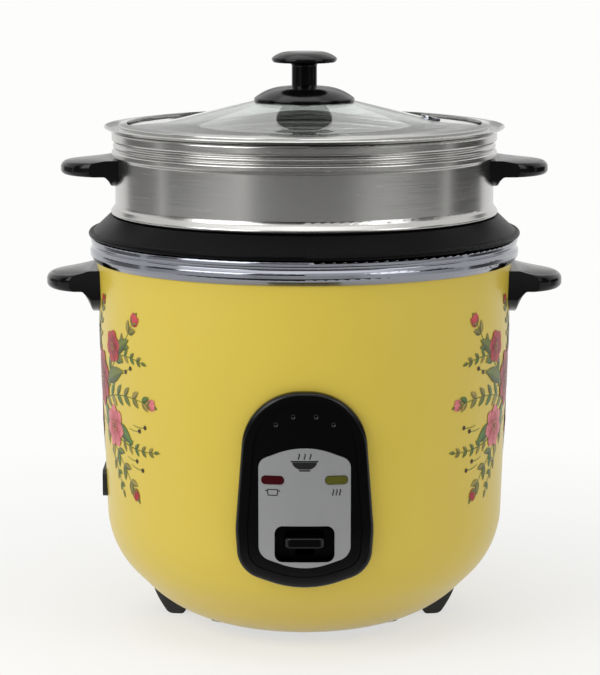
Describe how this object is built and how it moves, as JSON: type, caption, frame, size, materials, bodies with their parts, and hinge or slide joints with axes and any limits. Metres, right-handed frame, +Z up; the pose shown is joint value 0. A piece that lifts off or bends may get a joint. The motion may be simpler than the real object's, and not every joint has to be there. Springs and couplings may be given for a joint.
{
  "type": "rice cooker",
  "caption": "Round drum rice cooker with a press-down switch lever, lift-out pot, steamer tray and glass lid, on a heater plate with a spring thermostat.",
  "frame": {"origin": "on the floor, at the foot of the cooker's own axis", "axes": "+Z up along the axis, +X to the right seen from the front, the control panel faces -Y"},
  "size_m": [0.336, 0.2802, 0.3734],
  "materials": {
    "drum_paint": "glossy warm yellow enamel",
    "bright_steel": "polished steel",
    "satin_steel": "brushed steel",
    "zinc_sheet": "zinc-coated sheet",
    "black_gloss": "gloss black moulding",
    "black_matte": "matt black moulding",
    "pot_coating": "satin black non-stick coating on aluminium",
    "cast_alloy": "cast and turned aluminium",
    "label_foil": "satin silver plate",
    "lid_glass": "clear toughened glass",
    "red_lens": "translucent red",
    "amber_lens": "translucent yellow-green",
    "screw_steel": "zinc-plated steel",
    "brass_pins": "bare brass",
    "clear_bulb": "small glass lamps",
    "white_insulator": "pale insulating moulding",
    "dark_ferrite": "dark ferrite",
    "seal_rubber": "pale silicone"
  },
  "bodies": {
    "cooker_base": {"outer_drum": "drum_paint", "rim_collar": "bright_steel", "heat_shield": "zinc_sheet", "bottom_plate": "zinc_sheet", "bottom_screws": "screw_steel", "foot_right": "black_matte", "foot_left": "black_matte", "foot_screws": "screw_steel", "body_handle_right": "black_gloss", "body_handle_left": "black_gloss", "body_handle_screws": "screw_steel", "control_panel": "black_gloss", "panel_label": "label_foil", "cook_lamp_lens": "red_lens", "warm_lamp_lens": "amber_lens", "lamp_bulbs": "clear_bulb", "power_inlet": "black_matte", "inlet_pins": "brass_pins", "heater_plate": "cast_alloy", "heating_element": "satin_steel", "heater_legs": "screw_steel", "heater_screws": "screw_steel", "sensor_seat": "zinc_sheet", "switch_bracket": "zinc_sheet", "lever_pin": "screw_steel", "contact_switch": "black_matte", "terminal_block": "white_insulator", "thermal_fuse": "white_insulator", "sensor_spring": "screw_steel"},
    "sensor": {"sensor_cap": "cast_alloy", "sensor_ferrite": "dark_ferrite"},
    "magnet_slide": {"magnet": "dark_ferrite", "magnet_rod": "screw_steel"},
    "switch_lever": {"lever_arm": "zinc_sheet", "switch_tongue": "black_gloss"},
    "pot": {"inner_pot": "pot_coating"},
    "steamer": {"steamer_tray": "satin_steel", "steamer_handle_right": "black_gloss", "steamer_handle_left": "black_gloss", "steamer_rivets": "screw_steel"},
    "lid": {"lid_rim": "bright_steel", "lid_glass": "lid_glass", "steam_vent": "bright_steel", "knob_skirt": "black_gloss", "lid_knob": "black_gloss", "knob_washer": "seal_rubber", "knob_screw": "screw_steel"}
  },
  "joints": [
    {"name": "pot_lift", "type": "slide", "parent": "cooker_base", "child": "pot", "axis": [0, 0, 1], "range_m": [0, 0.14]},
    {"name": "steamer_lift", "type": "slide", "parent": "pot", "child": "steamer", "axis": [0, 0, 1], "range_m": [0, 0.07]},
    {"name": "lid_lift", "type": "slide", "parent": "steamer", "child": "lid", "axis": [0, 0, 1], "range_m": [0, 0.07]},
    {"name": "switch_press", "type": "hinge", "parent": "cooker_base", "child": "switch_lever", "pos_m": [0, -0.062, 0.0815], "axis": [1, 0, 0], "range_deg": [0, 6], "stiffness_Nm_per_rad": 0.5},
    {"name": "magnet_rise", "type": "slide", "parent": "cooker_base", "child": "magnet_slide", "axis": [0, 0, 1], "range_m": [0, 0.0065]},
    {"name": "sensor_press", "type": "slide", "parent": "cooker_base", "child": "sensor", "axis": [0, 0, 1], "range_m": [-0.0015, 0], "stiffness_N_per_m": 300, "deforming": ["sensor_spring"]}
  ],
  "couplings": [
    {"joint": "magnet_rise", "follows": "switch_press", "m_per_rad": 0.062}
  ]
}
